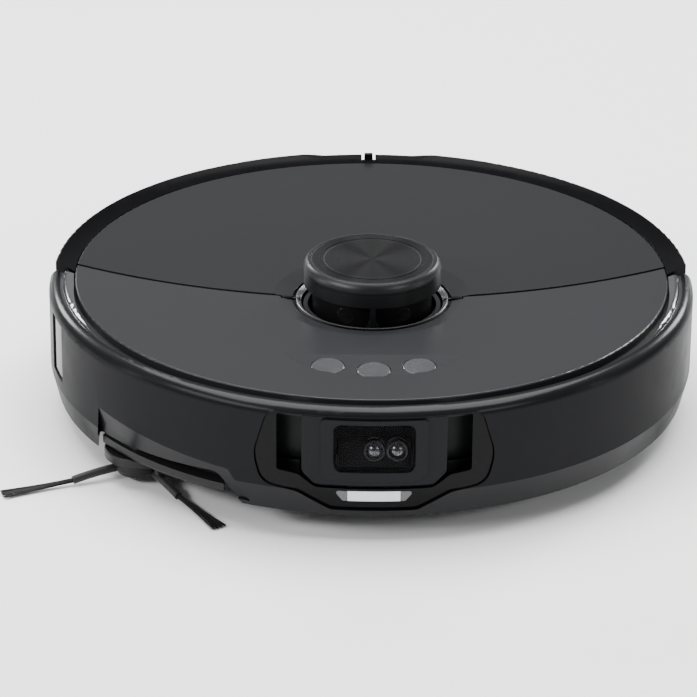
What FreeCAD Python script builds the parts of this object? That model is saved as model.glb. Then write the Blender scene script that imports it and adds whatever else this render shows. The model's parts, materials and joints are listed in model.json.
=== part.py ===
"""Robot vacuum cleaner, modelled as the separate pieces it is assembled from.

Units are millimetres. The frame stands on the floor at z = 0 with +Z up. The vertical axis of the round
body is x = y = 0, and the bumper and camera face -Y. "Bearing" is an angle in degrees about that axis,
0 at the front and positive towards +X. Each function makes one sub-part and saves it as parts/NODE.step.
"""
import FreeCAD, Part
import math
import os

V = FreeCAD.Vector

# ---- driving dimensions of the body --------------------------------------------------------------------
R_BUMPER = 175.0            # outside of the bumper
R_BODY = 172.0              # outside of the rear shell
R_RIM = 172.5               # outside of the lid's rim
R_PLATE = 161.0             # the grey top plates
R_DECK = 168.0              # upper frame
R_BASE = 164.0              # chassis bowl
WALL = 2.5                  # moulded wall thickness
Z_BASE = 10.0               # underside of the chassis
Z_SEAT = 14.4               # lower edge of the bumper
Z_BEVEL = 28.5              # where the bumper's lower bevel starts
Z_DECK = 67.5               # underside of the upper deck
Z_DECK_TOP = 70.0
Z_PANEL = 72.0              # underside of the front panel
Z_TOP = 74.5                # top of the front panel
Z_LID = 74.9                # top of the lid
Z_RIM = 77.75               # ridge of the lid's rim
Z_DIP = 75.7                # low middle of that ridge at the back
Z_CAP = 96.5                # top of the turret
R_LIP = 167.4               # inner edge of the bumper's top lip at the front
LIP_WIDENS = 3.1            # how far back the centre of that edge lies, so that the lip narrows towards its ends
Z_LIP_LOW = 73.0            # underside of the lip
CRESCENT_R = 160.7          # inner edge of the bright crescents, and where its centre lies
CRESCENT_Y = -14.0
BUMPER_TRAVEL = 3.0         # how far the bumper gives way
RIM_END = [(-15.1, 153.0), (8.4, 180.0)]    # slanting ends of the lid's rim: y past RIM_FRONT, x
BUMPER_END = 91.0           # bearing of the bumper's ends
SHELL_START = 92.5          # bearing where the rear shell starts
RIM_FRONT = 7.5             # y where the lid's rim starts
VENT = (138.0, 164.0)       # bearings of the exhaust vents
VENT_Z = (28.0, 56.0)

# ---- seam between the lid and the front panel: an arc bulging forwards ---------------------------------
SEAM_R = 315.5
SEAM_Y = 281.0
SEAM_GAP = 1.4

# ---- turret --------------------------------------------------------------------------------------------
TURRET_Y = -31.0
R_CAP = 36.9
R_CAP_TOP = 34.6
Z_CAP_LOW = 83.4
R_WELL = 42.7               # opening in the two top plates
R_TUB = 42.0
R_TUB_IN = 38.0
R_RING = 40.8               # rim of the tub that shows in the opening
R_ROTOR = 32.0
EYES_X = (-14.5, 16.0)      # lens barrels of the scanner
EYE_R = 4.2
EYE_Z = 76.0
EYE_BACK = TURRET_Y - 22.0
PULLEY_Y = TURRET_Y + 32.0  # axis of the lidar motor
R_PULLEY = 3.5
R_ROTOR_PULLEY = 25.0
HINGE_Y = -31.5
HINGE_Z = 73.0

# ---- drive wheels, brushes, caster ---------------------------------------------------------------------
WHEEL_R = 33.0
WHEEL_X = (108.0, 132.0)    # inner and outer face of the tyre
WELL_X = (84.0, 138.0)
WELL_Y = 46.0
ARM_X = (88.0, 104.0)
PIVOT = (-38.0, 38.0)       # y, z of the suspension pivot
R_PIVOT = 3.0
FIT = 0.06                  # running clearance of shafts in their bores
POSTS = [(x, y) for x in (-76.5, 76.5) for y in (-96.0, -60.0)]
BRUSH_Y, BRUSH_Z, BRUSH_R = 24.0, 23.5, 20.5
BRUSH_X = (-78.0, 64.0)
CAVITY_Y = (1.0, 47.0)
SIDE_BRUSH = (-122.0, -98.0)
ARCH_BEARING = -40.0        # middle of the bumper's arch over the side brush
ARCH_SLOPE = 3.5            # degrees
CASTER_Y = -128.0
CASTER_TRAIL = 4.0
CASTER_R = 13.0

# ---- dust bin, fan, battery ----------------------------------------------------------------------------
BIN_X = (-95.0, 36.0)
BIN_Y = (54.0, 128.0)
BIN_Z = (12.5, 62.0)
BIN_CUT_X = -73.0           # the bin's cut-off rear corner runs from here on its rear wall
BIN_CUT_Y = 111.0           # to here on its side wall
FAN = (76.0, 88.0)
FAN_R = 28.0
BATTERY = (-72.0, 72.0, -101.0, -54.0, 12.5, 41.0)

# ---- buttons -------------------------------------------------------------------------------------------
BUTTONS = {"button_left": (-23.6, -118.5), "button_power": (0.0, -122.8), "button_right": (23.6, -118.5)}
BUTTON_R = 8.6
BUTTON_RISE = 0.3           # height above the floor of their recess
BUTTON_LOW = 68.8
RAMP_Y = (-106.0, -140.0)   # where the recess floor starts, level with the panel, and where it would end
RAMP_LOW = 71.9
RAMP_SLOPE = (Z_TOP - RAMP_LOW) / (RAMP_Y[0] - RAMP_Y[1])

BIG = 400.0


# ---- helpers -------------------------------------------------------------------------------------------
def polar(radius, bearing, z=0.0, x=0.0, y=0.0):
    """Point at a bearing from the front, about the vertical through (x, y)."""
    a = math.radians(bearing)
    return V(x + radius * math.sin(a), y - radius * math.cos(a), z)


def cylinder(r, z0, z1, x=0.0, y=0.0):
    return Part.makeCylinder(r, z1 - z0, V(x, y, z0))


def ring(r0, r1, z0, z1, x=0.0, y=0.0):
    return cylinder(r1, z0, z1, x, y).cut(cylinder(r0, z0 - 1, z1 + 1, x, y))


def rod_x(r, x0, x1, y, z):
    """Cylinder along X."""
    return Part.makeCylinder(r, x1 - x0, V(x0, y, z), V(1, 0, 0))


def block(x0, x1, y0, y1, z0, z1):
    return Part.makeBox(x1 - x0, y1 - y0, z1 - z0, V(x0, y0, z0))


def rounded_wire(points, radius, place):
    """Closed outline through 2-D points with its corners rounded; place maps (u, v) to a vector."""
    n = len(points)
    radii = radius if isinstance(radius, (list, tuple)) else [radius] * n
    ends, arcs = [], []
    for i in range(n):
        p, q, s = points[i - 1], points[i], points[(i + 1) % n]
        a = FreeCAD.Vector(p[0] - q[0], p[1] - q[1], 0).normalize()
        b = FreeCAD.Vector(s[0] - q[0], s[1] - q[1], 0).normalize()
        half = a.getAngle(b) / 2
        cut = radii[i] / math.tan(half)
        bisector = (a + b).normalize()
        reach = radii[i] / math.sin(half) - radii[i]
        corner = V(q[0], q[1], 0)
        start, end, middle = corner + a * cut, corner + b * cut, corner + bisector * reach
        ends.append((start, end))
        arcs.append(Part.Arc(place(start.x, start.y), place(middle.x, middle.y), place(end.x, end.y)).toShape())
    edges = []
    for i in range(n):
        edges.append(arcs[i])
        a, b = ends[i][1], ends[(i + 1) % n][0]
        if (a - b).Length > 1e-6:
            edges.append(Part.makeLine(place(a.x, a.y), place(b.x, b.y)))
    return Part.Wire(Part.__sortEdges__(edges))


def prism_xz(points, radius, y0, y1):
    """Outline in X and Z, extruded along Y."""
    wire = rounded_wire(points, radius, lambda u, v: V(u, y0, v))
    return Part.Face(wire).extrude(V(0, y1 - y0, 0))


def prism_xy(points, radius, z0, z1):
    wire = rounded_wire(points, radius, lambda u, v: V(u, v, z0))
    return Part.Face(wire).extrude(V(0, 0, z1 - z0))


def prism_yz(points, radius, x0, x1):
    wire = rounded_wire(points, radius, lambda u, v: V(x0, u, v))
    return Part.Face(wire).extrude(V(x1 - x0, 0, 0))


def turned(edges_or_points, first=-180.0, last=180.0, x=0.0, y=0.0):
    """Solid of revolution of an (r, z) outline between two bearings. Items are (r, z) corner points, or
    ((r, z), (r, z)) pairs, which mean an arc through the first to the second from the point before."""
    edges, here = [], None
    start = edges_or_points[0]
    for item in edges_or_points + [start]:
        if isinstance(item[0], tuple):
            via, to = (V(p[0], 0, p[1]) for p in item)
            edges.append(Part.Arc(here, via, to).toShape())
            here = to
            continue
        to = V(item[0], 0, item[1])
        if here is not None and (to - here).Length > 1e-7:
            edges.append(Part.makeLine(here, to))
        here = to
    face = Part.Face(Part.Wire(edges))
    face.rotate(V(0, 0, 0), V(0, 0, 1), first - 90.0)
    solid = face.revolve(V(0, 0, 0), V(0, 0, 1), last - first)
    solid.translate(V(x, y, 0))
    return solid


def sector(r0, r1, first, last, z0, z1):
    """Part of a ring between two bearings."""
    return turned([(r0, z0), (r1, z0), (r1, z1), (r0, z1)], first, last)


def both_sides(shape):
    """The shape and its mirror image across the centre plane."""
    return [shape, shape.mirror(V(0, 0, 0), V(1, 0, 0))]


def around(shape, count, x=0.0, y=0.0, first=0.0):
    """Copies of a shape turned about the vertical through (x, y)."""
    copies = []
    for i in range(count):
        copy = shape.copy()
        copy.rotate(V(x, y, 0), V(0, 0, 1), first + i * 360.0 / count)
        copies.append(copy)
    return copies


def save(node, *shapes):
    solids = [solid for shape in shapes for solid in shape.Solids]
    for solid in solids:
        if not solid.isValid() or solid.Volume <= 0:
            print("BAD SOLID", node, solid.Volume)
    result = solids[0] if len(solids) == 1 else Part.makeCompound(solids)
    result.exportStep(f"parts/{node}.step")
    print(f"{node}: {len(solids)} solid(s), {result.Volume / 1000:.1f} cm3")


# ---- shared shapes -------------------------------------------------------------------------------------
def behind_seam(offset):
    """Everything behind the seam arc; a positive offset moves the edge backwards."""
    return cylinder(SEAM_R - offset, 0, BIG / 2, 0, SEAM_Y)


def dish():
    """Shallow cone around the turret, cut from both top plates."""
    return turned([(0, 73.2), (R_WELL + 0.2, 73.2), (R_WELL + 12.0, Z_LID + 0.3), (0, Z_LID + 0.3)], y=TURRET_Y)


def seat_shapes():
    """Pockets in the chassis underside that hold the flush windows and contacts."""
    return cliff_window_solids() + contact_solids()


def cliff_window_solids():
    made = []
    for bearing in (-66, -24, 24, 66, 128, -128):
        centre = polar(146.0, bearing)
        window = prism_xy([(-10, -4.5), (10, -4.5), (10, 4.5), (-10, 4.5)], 2.0, Z_BASE - 0.5, Z_BASE + 1.4)
        window.rotate(V(0, 0, 0), V(0, 0, 1), bearing)
        window.translate(centre)
        made.append(window)
    return made


def contact_solids():
    outline = [(33, -128), (53, -128), (53, -119), (33, -119)]
    return both_sides(prism_xy(outline, 1.5, Z_BASE - 0.6, Z_BASE + 1.6))


def bin_outline(grow):
    """Outline of the dust bin in plan, with the corner by the rear wall cut off; grow moves it outwards."""
    x0, x1 = BIN_X[0] - grow, BIN_X[1] + grow
    y0, y1 = BIN_Y[0] - grow, BIN_Y[1] + grow
    slack = 0.41 * grow
    return [(x0, y0), (x1, y0), (x1, y1), (BIN_CUT_X - slack, y1), (x0, BIN_CUT_Y + slack)]


def inside_bowl():
    """Space inside the chassis bowl."""
    r = R_BASE - WALL - 0.1
    return turned([(0, Z_BASE + WALL), (147.1, Z_BASE + WALL), (157.8, 16.25), (r, 23.1), (r, 90), (0, 90)])


# ---- chassis -------------------------------------------------------------------------------------------
def chassis_base():
    """Bowl with wheel wells, brush cavity, caster pocket and the side-brush boss."""
    bowl = turned([(0, Z_BASE), (148, Z_BASE), (160, 14), (R_BASE, 22), (R_BASE, 40), (R_BASE - WALL, 40),
                   (R_BASE - WALL, 23), (157.9, 16.2), (147.2, Z_BASE + WALL), (0, Z_BASE + WALL)])
    walls = []
    for side in (-1, 1):
        x0, x1 = sorted((side * (WELL_X[0] - 2), side * (WELL_X[1] + 2)))
        walls.append(block(x0, x1, -WELL_Y - 2, WELL_Y + 2, Z_BASE, 60))
    walls.append(block(BRUSH_X[0] - 4, 82, CAVITY_Y[0] - 2, BIN_Y[0] - 3, Z_BASE, 50))
    walls.append(cylinder(26, Z_BASE, 37, 0, CASTER_Y))
    walls.append(cylinder(17.5, 17.8, 27, *SIDE_BRUSH).common(cylinder(R_DECK + 0.8, 0, 30)))
    walls.append(cylinder(23, Z_BASE, 24, *SIDE_BRUSH).common(cylinder(R_BASE - 1, 0, 30)))
    ledge = turned([(150, 17.6), (169.6, 17.6), ((171.0, 18.4), (171.5, 20.0)), (171.0, 22.8), (150, 24.5)],
                   -56, -24)
    walls.append(ledge.common(block(-141.5, -76.5, -180, 0, 0, 40)))
    walls.append(turned([(R_BASE - 1, 24), (R_BODY - WALL, 24), (R_BODY - WALL, 26.5), (R_BASE - 1, 26.5)],
                        SHELL_START + 1, 359 - SHELL_START))
    walls += [cylinder(2.5, Z_BASE + 1, 46, x, y) for x, y in POSTS]
    solid = bowl.fuse(walls)
    holes = []
    for side in (-1, 1):
        x0, x1 = sorted((side * WELL_X[0], side * WELL_X[1]))
        holes.append(block(x0, x1, -WELL_Y, WELL_Y, 0, 61))
    holes.append(block(BRUSH_X[0] - 2, 80, CAVITY_Y[0], CAVITY_Y[1], 0, 48))
    holes.append(block(-30, 30, CAVITY_Y[1] - 1, BIN_Y[0], 24, 44))
    holes.append(cylinder(24, 0, 34, 0, CASTER_Y))
    holes.append(cylinder(4 + FIT, 30, 40, 0, CASTER_Y))
    holes.append(cylinder(20.5, 0, 18.3, *SIDE_BRUSH))
    holes.append(cylinder(4 + FIT, 12, 30, *SIDE_BRUSH))
    holes += [sector(150, 180, first, first + 26, VENT_Z[0], VENT_Z[1]) for first in (VENT[0], -VENT[1])]
    holes.append(block(-37.6, 37.6, -180, -150, 30.8, 41))
    holes += [rod_x(R_PIVOT + FIT, x, x + 60, *PIVOT) for x in (WELL_X[0] - 3, -WELL_X[0] - 57)]
    solid = solid.cut(holes + seat_shapes())
    save("chassis_base", solid)


def mid_frame():
    """Upper deck with its wall, the dust-bin bay and the openings for turret, buttons and camera."""
    deck = cylinder(R_DECK, Z_DECK, Z_DECK_TOP)
    wall = ring(R_DECK - WALL, R_DECK, 40, Z_DECK).fuse(ring(R_BASE - WALL, R_DECK, 40, 42.5))
    bay = prism_xy(bin_outline(3.0), 0.5, 16.4, Z_DECK)
    posts = [cylinder(2, 64.2, Z_DECK, x, y) for x in (-33, 33) for y in (-112, -129)]
    solid = deck.fuse([wall, bay] + posts)
    holes = [cylinder(R_TUB + 0.5, 60, 75, 0, TURRET_Y)]
    holes += [sector(160, 180, first, first + 26, VENT_Z[0], VENT_Z[1]) for first in (VENT[0], -VENT[1])]
    holes.append(prism_xy(bin_outline(1.0), 3.0, Z_BASE + WALL - 1, 75))
    holes.append(block(-30, 30, BIN_Y[0] - 5, BIN_Y[0], 24, 44))
    holes.append(block(BIN_X[1], BIN_X[1] + 5, FAN[1] - 16, FAN[1] + 16, 24, 52))
    for x, y in BUTTONS.values():
        holes.append(cylinder(BUTTON_R + 1.2, 60, 75, x, y))
    holes.append(block(-52, 52, -180, -150, 20, Z_DECK - 1))
    save("mid_frame", solid.cut(holes))


def rear_shell():
    """Outer wall of the rear half, with vents and a window for the dock sensor."""
    solid = turned([(164.6, 12), (R_BODY, 22), (R_BODY, 65.5), (R_BODY - WALL, 65.5), (R_BODY - WALL, 23),
                    (164.6, 15.8)], SHELL_START, 360 - SHELL_START)
    holes = [sector(160, 180, first, first + 26, VENT_Z[0], VENT_Z[1]) for first in (VENT[0], -VENT[1])]
    holes.append(prism_xz([(-16, 42), (16, 42), (16, 58), (-16, 58)], 4.0, 150, 180))
    save("rear_shell", solid.cut(holes))


def exhaust_grilles():
    """Slotted vents that fill the two openings of the rear shell."""
    made = []
    for first in (VENT[0], -VENT[1]):
        grille = sector(R_BODY - 2.2, R_BODY - 0.7, first, first + 26, *VENT_Z)
        slots = []
        for i in range(11):
            bearing = first + 2.0 + i * 2.2
            slot = prism_xz([(-1.6, 31), (1.6, 31), (1.6, 53), (-1.6, 53)], 1.5, -180, -160)
            slot.rotate(V(0, 0, 0), V(0, 0, 1), bearing)
            slots.append(slot)
        made.append(grille.cut(slots))
    save("exhaust_grilles", *made)


def dock_sensor_window():
    window = prism_xz([(-16, 42), (16, 42), (16, 58), (-16, 58)], 4.0, 150, 180)
    save("dock_sensor_window", window.common(ring(R_BODY - 2.4, R_BODY - 0.3, 40, 60)))


def front_panel():
    """Fixed grey top plate ahead of the seam, with the scooped button recess."""
    plate = turned([(0, Z_PANEL), (R_PLATE, Z_PANEL), (R_PLATE, Z_TOP - 0.8), ((R_PLATE - 0.25, Z_TOP - 0.25),
                    (R_PLATE - 0.8, Z_TOP)), (0, Z_TOP)])
    skirt = ring(R_PLATE - WALL, R_PLATE, Z_DECK_TOP, Z_PANEL + 0.5)
    pad = cylinder(50, Z_DECK_TOP + 0.1, Z_PANEL + 0.5, 0, -92).common(block(-60, 60, -145, -100, 60, 80))
    turret_hole = cylinder(R_WELL, 60, 80, 0, TURRET_Y)
    solid = plate.fuse([skirt, pad]).cut([behind_seam(-SEAM_GAP / 2), turret_hole, dish()])
    scoop = cylinder(53.7, 60, 80, 0, -79.3)
    holes = [scoop.common(ramp(0.0)).common(block(-60, 60, RAMP_Y[1], RAMP_Y[0], 60, 80))]
    for x, y in BUTTONS.values():
        holes.append(cylinder(BUTTON_R + 0.3, 60, 80, x, y))
    for lug in both_sides(rod_x(2.0, 41.5, 49.0, HINGE_Y, HINGE_Z)):
        holes.append(lug)
    save("front_panel", solid.cut(holes))


def trim_crescents():
    """Glossy crescents that fill the rim between the front plate and the bumper lip at each side."""
    rim = turned([(158, Z_DECK_TOP), (168.0, Z_DECK_TOP), (169.9, 71.3), (169.9, 71.9), (167.3, 72.6),
                  ((166.4, 73.7), (164.8, Z_TOP - 0.2)), (158, Z_TOP - 0.2)])
    inner = cylinder(CRESCENT_R, 60, 80, 0, CRESCENT_Y)
    rim = rim.common(cylinder(169.6, 60, 80, 0, BUMPER_TRAVEL))
    rim = rim.cut([inner, cylinder(R_PLATE + 0.5, 60, 80)] + rim_rear())
    save("trim_crescents", rim)


def rim_rear():
    """Everything behind the slanting rear ends of the crescents."""
    y = RIM_FRONT - 2.2
    (dy0, x0), (dy1, x1) = RIM_END
    outline = [(x0 - 30, -150), (x1, -150), (x1, y + dy1), (x0, y + dy0), (x0 - 30, y + dy0)]
    keep = prism_xy(outline, 0.01, 50, 90)
    return [block(-BIG, BIG, -BIG, BIG, 50, 90).cut(both_sides(keep))]


# ---- turret --------------------------------------------------------------------------------------------
def lidar_tub():
    """Fixed tub that the rotor turns in, with the hinge ears of the lid at its rim."""
    tub = turned([(0, 56), (R_TUB, 56), (R_TUB, Z_DECK_TOP), (48, Z_DECK_TOP), (48, 71), (R_RING, 71), (R_RING, 73.4),
                  (R_RING - 0.5, 73.8), (R_TUB_IN, 71.6), (R_TUB_IN, 58), (0, 58)], y=TURRET_Y)
    holes = [cylinder(3 + FIT, 50, 60, 0, TURRET_Y), cylinder(1.2 + FIT, 50, 60, 0, PULLEY_Y)]
    holes += both_sides(rod_x(0.8 + FIT, 30, 60, HINGE_Y, HINGE_Z))
    holes += both_sides(rod_x(1.9, 42.0, 49.0, HINGE_Y, HINGE_Z))
    save("lidar_tub", tub.cut(holes))


def lidar_rotor():
    """Spinning scanner head with its pulley and spindle."""
    head = turned([(0, 66), (R_ROTOR, 66), (R_ROTOR, 80.5), ((R_ROTOR - 0.3, 81.2), (R_ROTOR - 1, 81.5)), (0, 81.5)],
                  y=TURRET_Y)
    pulley = turned([(0, 61), (R_ROTOR_PULLEY + 1, 61), (R_ROTOR_PULLEY + 1, 62), (R_ROTOR_PULLEY, 62),
                     (R_ROTOR_PULLEY, 65), (R_ROTOR_PULLEY + 1, 65), (R_ROTOR_PULLEY + 1, 66.5), (0, 66.5)], y=TURRET_Y)
    spindle = cylinder(3.0, 52, 62, 0, TURRET_Y)
    solid = head.fuse([pulley, spindle])
    eyes = [Part.makeCylinder(EYE_R, EYE_BACK + BIG, V(x, -BIG, EYE_Z), V(0, 1, 0)) for x in EYES_X]
    save("lidar_rotor", solid.cut(eyes))


def lidar_eyes():
    """Two lens barrels set into the front of the rotor."""
    made = []
    for x in EYES_X:
        front = TURRET_Y - math.sqrt(R_ROTOR ** 2 - x ** 2) + 1.0
        made.append(Part.makeCylinder(EYE_R, EYE_BACK - front, V(x, front, EYE_Z), V(0, 1, 0)))
    save("lidar_eyes", *made)


def turret_cap():
    """Cover that floats over the rotor on three posts."""
    shell = turned([(0, 94.3), (32.0, 94.3), ((33.6, 93.6), (34.3, 92.0)), (34.6, 84.0), (34.6, Z_CAP_LOW),
                    (R_CAP, Z_CAP_LOW), (R_CAP, 90.5), ((R_CAP - 0.7, 94.6), (R_CAP_TOP, Z_CAP)), (33.2, Z_CAP),
                    (33.0, Z_CAP - 0.7), (0, Z_CAP - 0.7)], y=TURRET_Y)
    post = block(-1.5, 1.5, TURRET_Y - 37, TURRET_Y - 33.0, 60.5, 85)
    foot = prism_xz([(-4.5, 68), (4.5, 68), (1.5, 76.5), (-1.5, 76.5)], 0.4, TURRET_Y - 37, TURRET_Y - 33.0)
    band = ring(34.4, R_CAP, 60, 90, 0, TURRET_Y)
    ring_low = ring(34.4, R_CAP, 68, 70.5, 0, TURRET_Y)
    posts = [p.common(band) for p in around(post.fuse(foot), 3, 0, TURRET_Y)]
    save("turret_cap", shell.fuse(posts + [ring_low]))


def cap_disc():
    """Spun-metal inlay with one turned groove."""
    disc = cylinder(32.9, Z_CAP - 0.7, Z_CAP - 0.2, 0, TURRET_Y)
    save("cap_disc", disc.cut(ring(27.4, 27.9, Z_CAP - 0.35, Z_CAP, 0, TURRET_Y)))


def lidar_drive():
    """Motor under the tub, its pulley inside, and the belt round both pulleys."""
    save("lidar_motor", cylinder(7.5, 50, 56, 0, PULLEY_Y))
    pulley = turned([(0, 60.5), (R_PULLEY + 0.8, 60.5), (R_PULLEY + 0.8, 62), (R_PULLEY, 62), (R_PULLEY, 65),
                     (R_PULLEY + 0.8, 65), (R_PULLEY + 0.8, 65.6), (0, 65.6)], y=PULLEY_Y)
    save("lidar_pulley", pulley.fuse(cylinder(1.2, 56.1, 61, 0, PULLEY_Y)))
    big, small = R_ROTOR_PULLEY + 0.15, R_PULLEY + 0.15
    outer = belt_loop(big + 0.6, small + 0.6)
    save("lidar_belt", outer.cut(belt_loop(big, small)))


def belt_loop(big, small):
    """Filled outline of a belt round the rotor pulley and the motor pulley."""
    span = PULLEY_Y - TURRET_Y
    lean = math.asin((big - small) / span)
    c, s = math.cos(lean), math.sin(lean)
    z = 62.3
    a, b = V(big * c, TURRET_Y + big * s, z), V(small * c, PULLEY_Y + small * s, z)
    d, e = V(-small * c, PULLEY_Y + small * s, z), V(-big * c, TURRET_Y + big * s, z)
    edges = [Part.makeLine(a, b), Part.Arc(b, V(0, PULLEY_Y + small, z), d).toShape(), Part.makeLine(d, e),
             Part.Arc(e, V(0, TURRET_Y - big, z), a).toShape()]
    return Part.Face(Part.Wire(edges)).extrude(V(0, 0, 2.4))


# ---- lid -----------------------------------------------------------------------------------------------
def lid_plate():
    """Grey outer plate of the lid."""
    plate = turned([(0, 72.6), (R_PLATE, 72.6), (R_PLATE, Z_LID - 0.8), ((R_PLATE - 0.25, Z_LID - 0.25),
                    (R_PLATE - 0.8, Z_LID)), (0, Z_LID)])
    plate = plate.common(behind_seam(SEAM_GAP / 2)).cut([cylinder(R_WELL, 60, 80, 0, TURRET_Y), dish()])
    front = block(-160, 160, -60, HINGE_Y + 0.6, 60, 80)
    save("lid_plate", plate.cut([front] + both_sides(rod_x(0.9, 38, 48.6, HINGE_Y, HINGE_Z))))


def rim_ends(y):
    """Wedges ahead of the slanting ends of the lid's rim, at both sides."""
    (dy0, x0), (dy1, x1) = RIM_END
    wedge = prism_xy([(x0, y - 40), (x1, y - 40), (x1, y + dy1), (x0, y + dy0)], 0.01, 60, 90)
    return both_sides(wedge)


def lid_frame():
    """Black carrier under the plate: inner sheet, rim, skirt and the two hinge lugs."""
    rim = turned([(R_PLATE + 0.15, 71.0), (168.6, 71.0), (170.3, 69.0), (170.3, 66.0), (R_RIM, 66.0),
                  (R_RIM, Z_RIM - 1.8), ((R_RIM - 0.5, Z_RIM - 0.5), (R_RIM - 1.8, Z_RIM)),
                  ((166.2, Z_LID + 1.1), (R_PLATE + 0.15, Z_LID - 0.1))])
    rim = rim.common(block(-BIG, BIG, -1.0, BIG, 0, 100)).cut(rim_ends(RIM_FRONT))
    sheet = cylinder(R_PLATE + 1, 71.2, 72.6).common(behind_seam(SEAM_GAP / 2))
    solid = rim.fuse(sheet)
    well = turned([(0, 60), (R_WELL + 1, 60), (R_WELL + 1, 80), (0, 80)], y=TURRET_Y)
    solid = solid.cut([well, block(-60, 60, -60, HINGE_Y + 1.2, 60, 80)])
    lugs = []
    for side in (-1, 1):
        x0, x1 = sorted((side * 42.6, side * 48.2))
        lugs.append(rod_x(1.5, x0, x1, HINGE_Y, HINGE_Z))
        lugs.append(block(x0, x1, HINGE_Y, HINGE_Y + 8, 71.6, 72.6))
    solid = solid.fuse(lugs)
    dip = prism_xz([(-66, 90), (-42, Z_RIM + 0.3), (-26, Z_DIP), (26, Z_DIP), (42, Z_RIM + 0.3), (66, 90)],
                   [1, 6, 12, 12, 6, 1], 161.5, 180)
    notch = prism_xz([(-5.0, 60), (5.0, 60), (3.7, 80), (-3.7, 80)], 0.3, 164.6, 180)
    holes = [dip, notch] + both_sides(rod_x(0.8, 42, 49, HINGE_Y, HINGE_Z))
    save("lid_frame", solid.cut(holes))


def hinge_pins():
    save("hinge_pins", *both_sides(rod_x(0.8, 38.4, 48.2, HINGE_Y, HINGE_Z)))


def lid_locator():
    """Small beacon post that stands in the notch of the lid's rear rim."""
    post = prism_xz([(-2.8, Z_DECK_TOP), (2.8, Z_DECK_TOP), (2.4, 78.6), (-2.4, 78.6)], 0.4, 165.2, 167.8)
    save("lid_locator", post)


# ---- bumper --------------------------------------------------------------------------------------------
VISOR_HALF = [(54.5, 71.2, 7), (61.8, 46.0, 22), (57.5, 30.2, 9), (39.5, 27.6, 12), (22.0, 17.6, 8)]
VISOR = [(-x, z) for x, z, r in VISOR_HALF[::-1]] + [(x, z) for x, z, r in VISOR_HALF]
VISOR_CORNERS = [r for x, z, r in VISOR_HALF[::-1]] + [r for x, z, r in VISOR_HALF]


def shrunk(points, by, centre=(0.0, 46.0)):
    """Outline moved inwards by roughly a fixed distance."""
    made = []
    for u, v in points:
        length = math.hypot(u - centre[0], v - centre[1])
        made.append((u - by * (u - centre[0]) / length, v - by * (v - centre[1]) / length))
    return made


def bumper_shell():
    """Front bumper with the visor opening, the side-brush arch and the wall-sensor slot."""
    shell = turned([(171.6, Z_SEAT), (R_BUMPER, Z_BEVEL), (R_BUMPER, 67.5), ((173.3, 72.4), (169.0, Z_TOP)),
                    (R_LIP, Z_TOP), (R_LIP, Z_LIP_LOW), (168.6, Z_LIP_LOW), ((171.3, 71.2), (172.5, 67.0)),
                    (172.5, 29.0), (169.1, Z_SEAT)], -BUMPER_END, BUMPER_END)
    visor = prism_xz(VISOR, VISOR_CORNERS, -190, -120)
    arch = prism_xz([(-145, 8), (-143, 25), (-80.5, 31), (-61.5, 8)], [0.1, 3, 6, 0.1], -190, -70)
    arch_bevel = turned([(R_BUMPER + 3, 49.8), (R_BUMPER + 3, 20.0), (171.2, 20.0), (172.9, 28.0),
                         (R_BUMPER, 37.3)], -70, -10)
    arch_bevel.rotate(V(0, 0, 28), polar(1, ARCH_BEARING), -ARCH_SLOPE)
    arch_bevel = arch_bevel.common(prism_xz([(-145, 8), (-142, 60), (-92, 60), (-57, 8)], 0.5, -190, -70))
    slot = sector(165, 180, -77.5, -70.5, 35, 67.5)
    lip = cylinder(R_LIP + LIP_WIDENS, Z_LIP_LOW - 0.2, Z_TOP + 1, 0, LIP_WIDENS)
    save("bumper_shell", shell.cut([visor, arch, arch_bevel, slot, lip]))


def visor_frame():
    """Glossy insert that frames the camera block."""
    shell = turned([(168.6, 16.5), (170.6, 16.5), (173.9, 29.0), (173.9, 72), (171.6, 72), (171.6, 29.5)],
                   -30, 30)
    outline = prism_xz(shrunk(VISOR, 0.35), VISOR_CORNERS, -190, -120)
    opening = prism_xz([(-49.5, 70.2), (49.5, 70.2), (49.5, 38.5), (38.5, 37.0), (30, 30.6), (-30, 30.6),
                        (-38.5, 37.0), (-49.5, 38.5)], [1.5, 1.5, 1.5, 4, 8, 8, 4, 1.5], -190, -120)
    lamp = prism_xz(LAMP, 1.2, -190, -120)
    flange = sector(R_BUMPER - 3.4, R_BUMPER - WALL, -24, 24, 30, 66)
    flange = flange.common(prism_xz(shrunk(VISOR, -2.0), VISOR_CORNERS, -190, -120))
    save("visor_frame", shell.common(outline).fuse(flange).cut([opening, lamp]))


LAMP = [(-20.3, 29.4), (20.3, 29.4), (16.0, 23.6), (-16.0, 23.6)]


def light_bar():
    """Fill light: a diffuser between two darker end pieces."""
    body = turned([(168.5, 20), (173.0, 20), (174.2, 29.6), (174.2, 31), (168.5, 31)], -12, 12)
    whole = prism_xz(LAMP, 1.2, -190, -120).common(body)
    middle = whole.common(block(-13.4, 13.4, -190, -120, 0, 60))
    ends = whole.cut(block(-13.4, 13.4, -190, -120, 0, 60))
    save("light_diffuser", middle)
    save("light_ends", ends)


def wall_sensor_window():
    save("wall_sensor_window", sector(R_BUMPER - 2.3, R_BUMPER - 0.8, -77.5, -70.5, 35, 67.5))


def bumper_springs():
    """Two return springs, each a coil between the chassis wall and the bumper."""
    made = []
    for bearing in (-40, 40):
        start = polar(R_DECK, bearing, 54)
        direction = polar(1, bearing)
        made.append(coil(start, direction, 3.0, 0.5, R_BUMPER - WALL - R_DECK - 0.02, 4))
    save("bumper_springs", *made)


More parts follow.
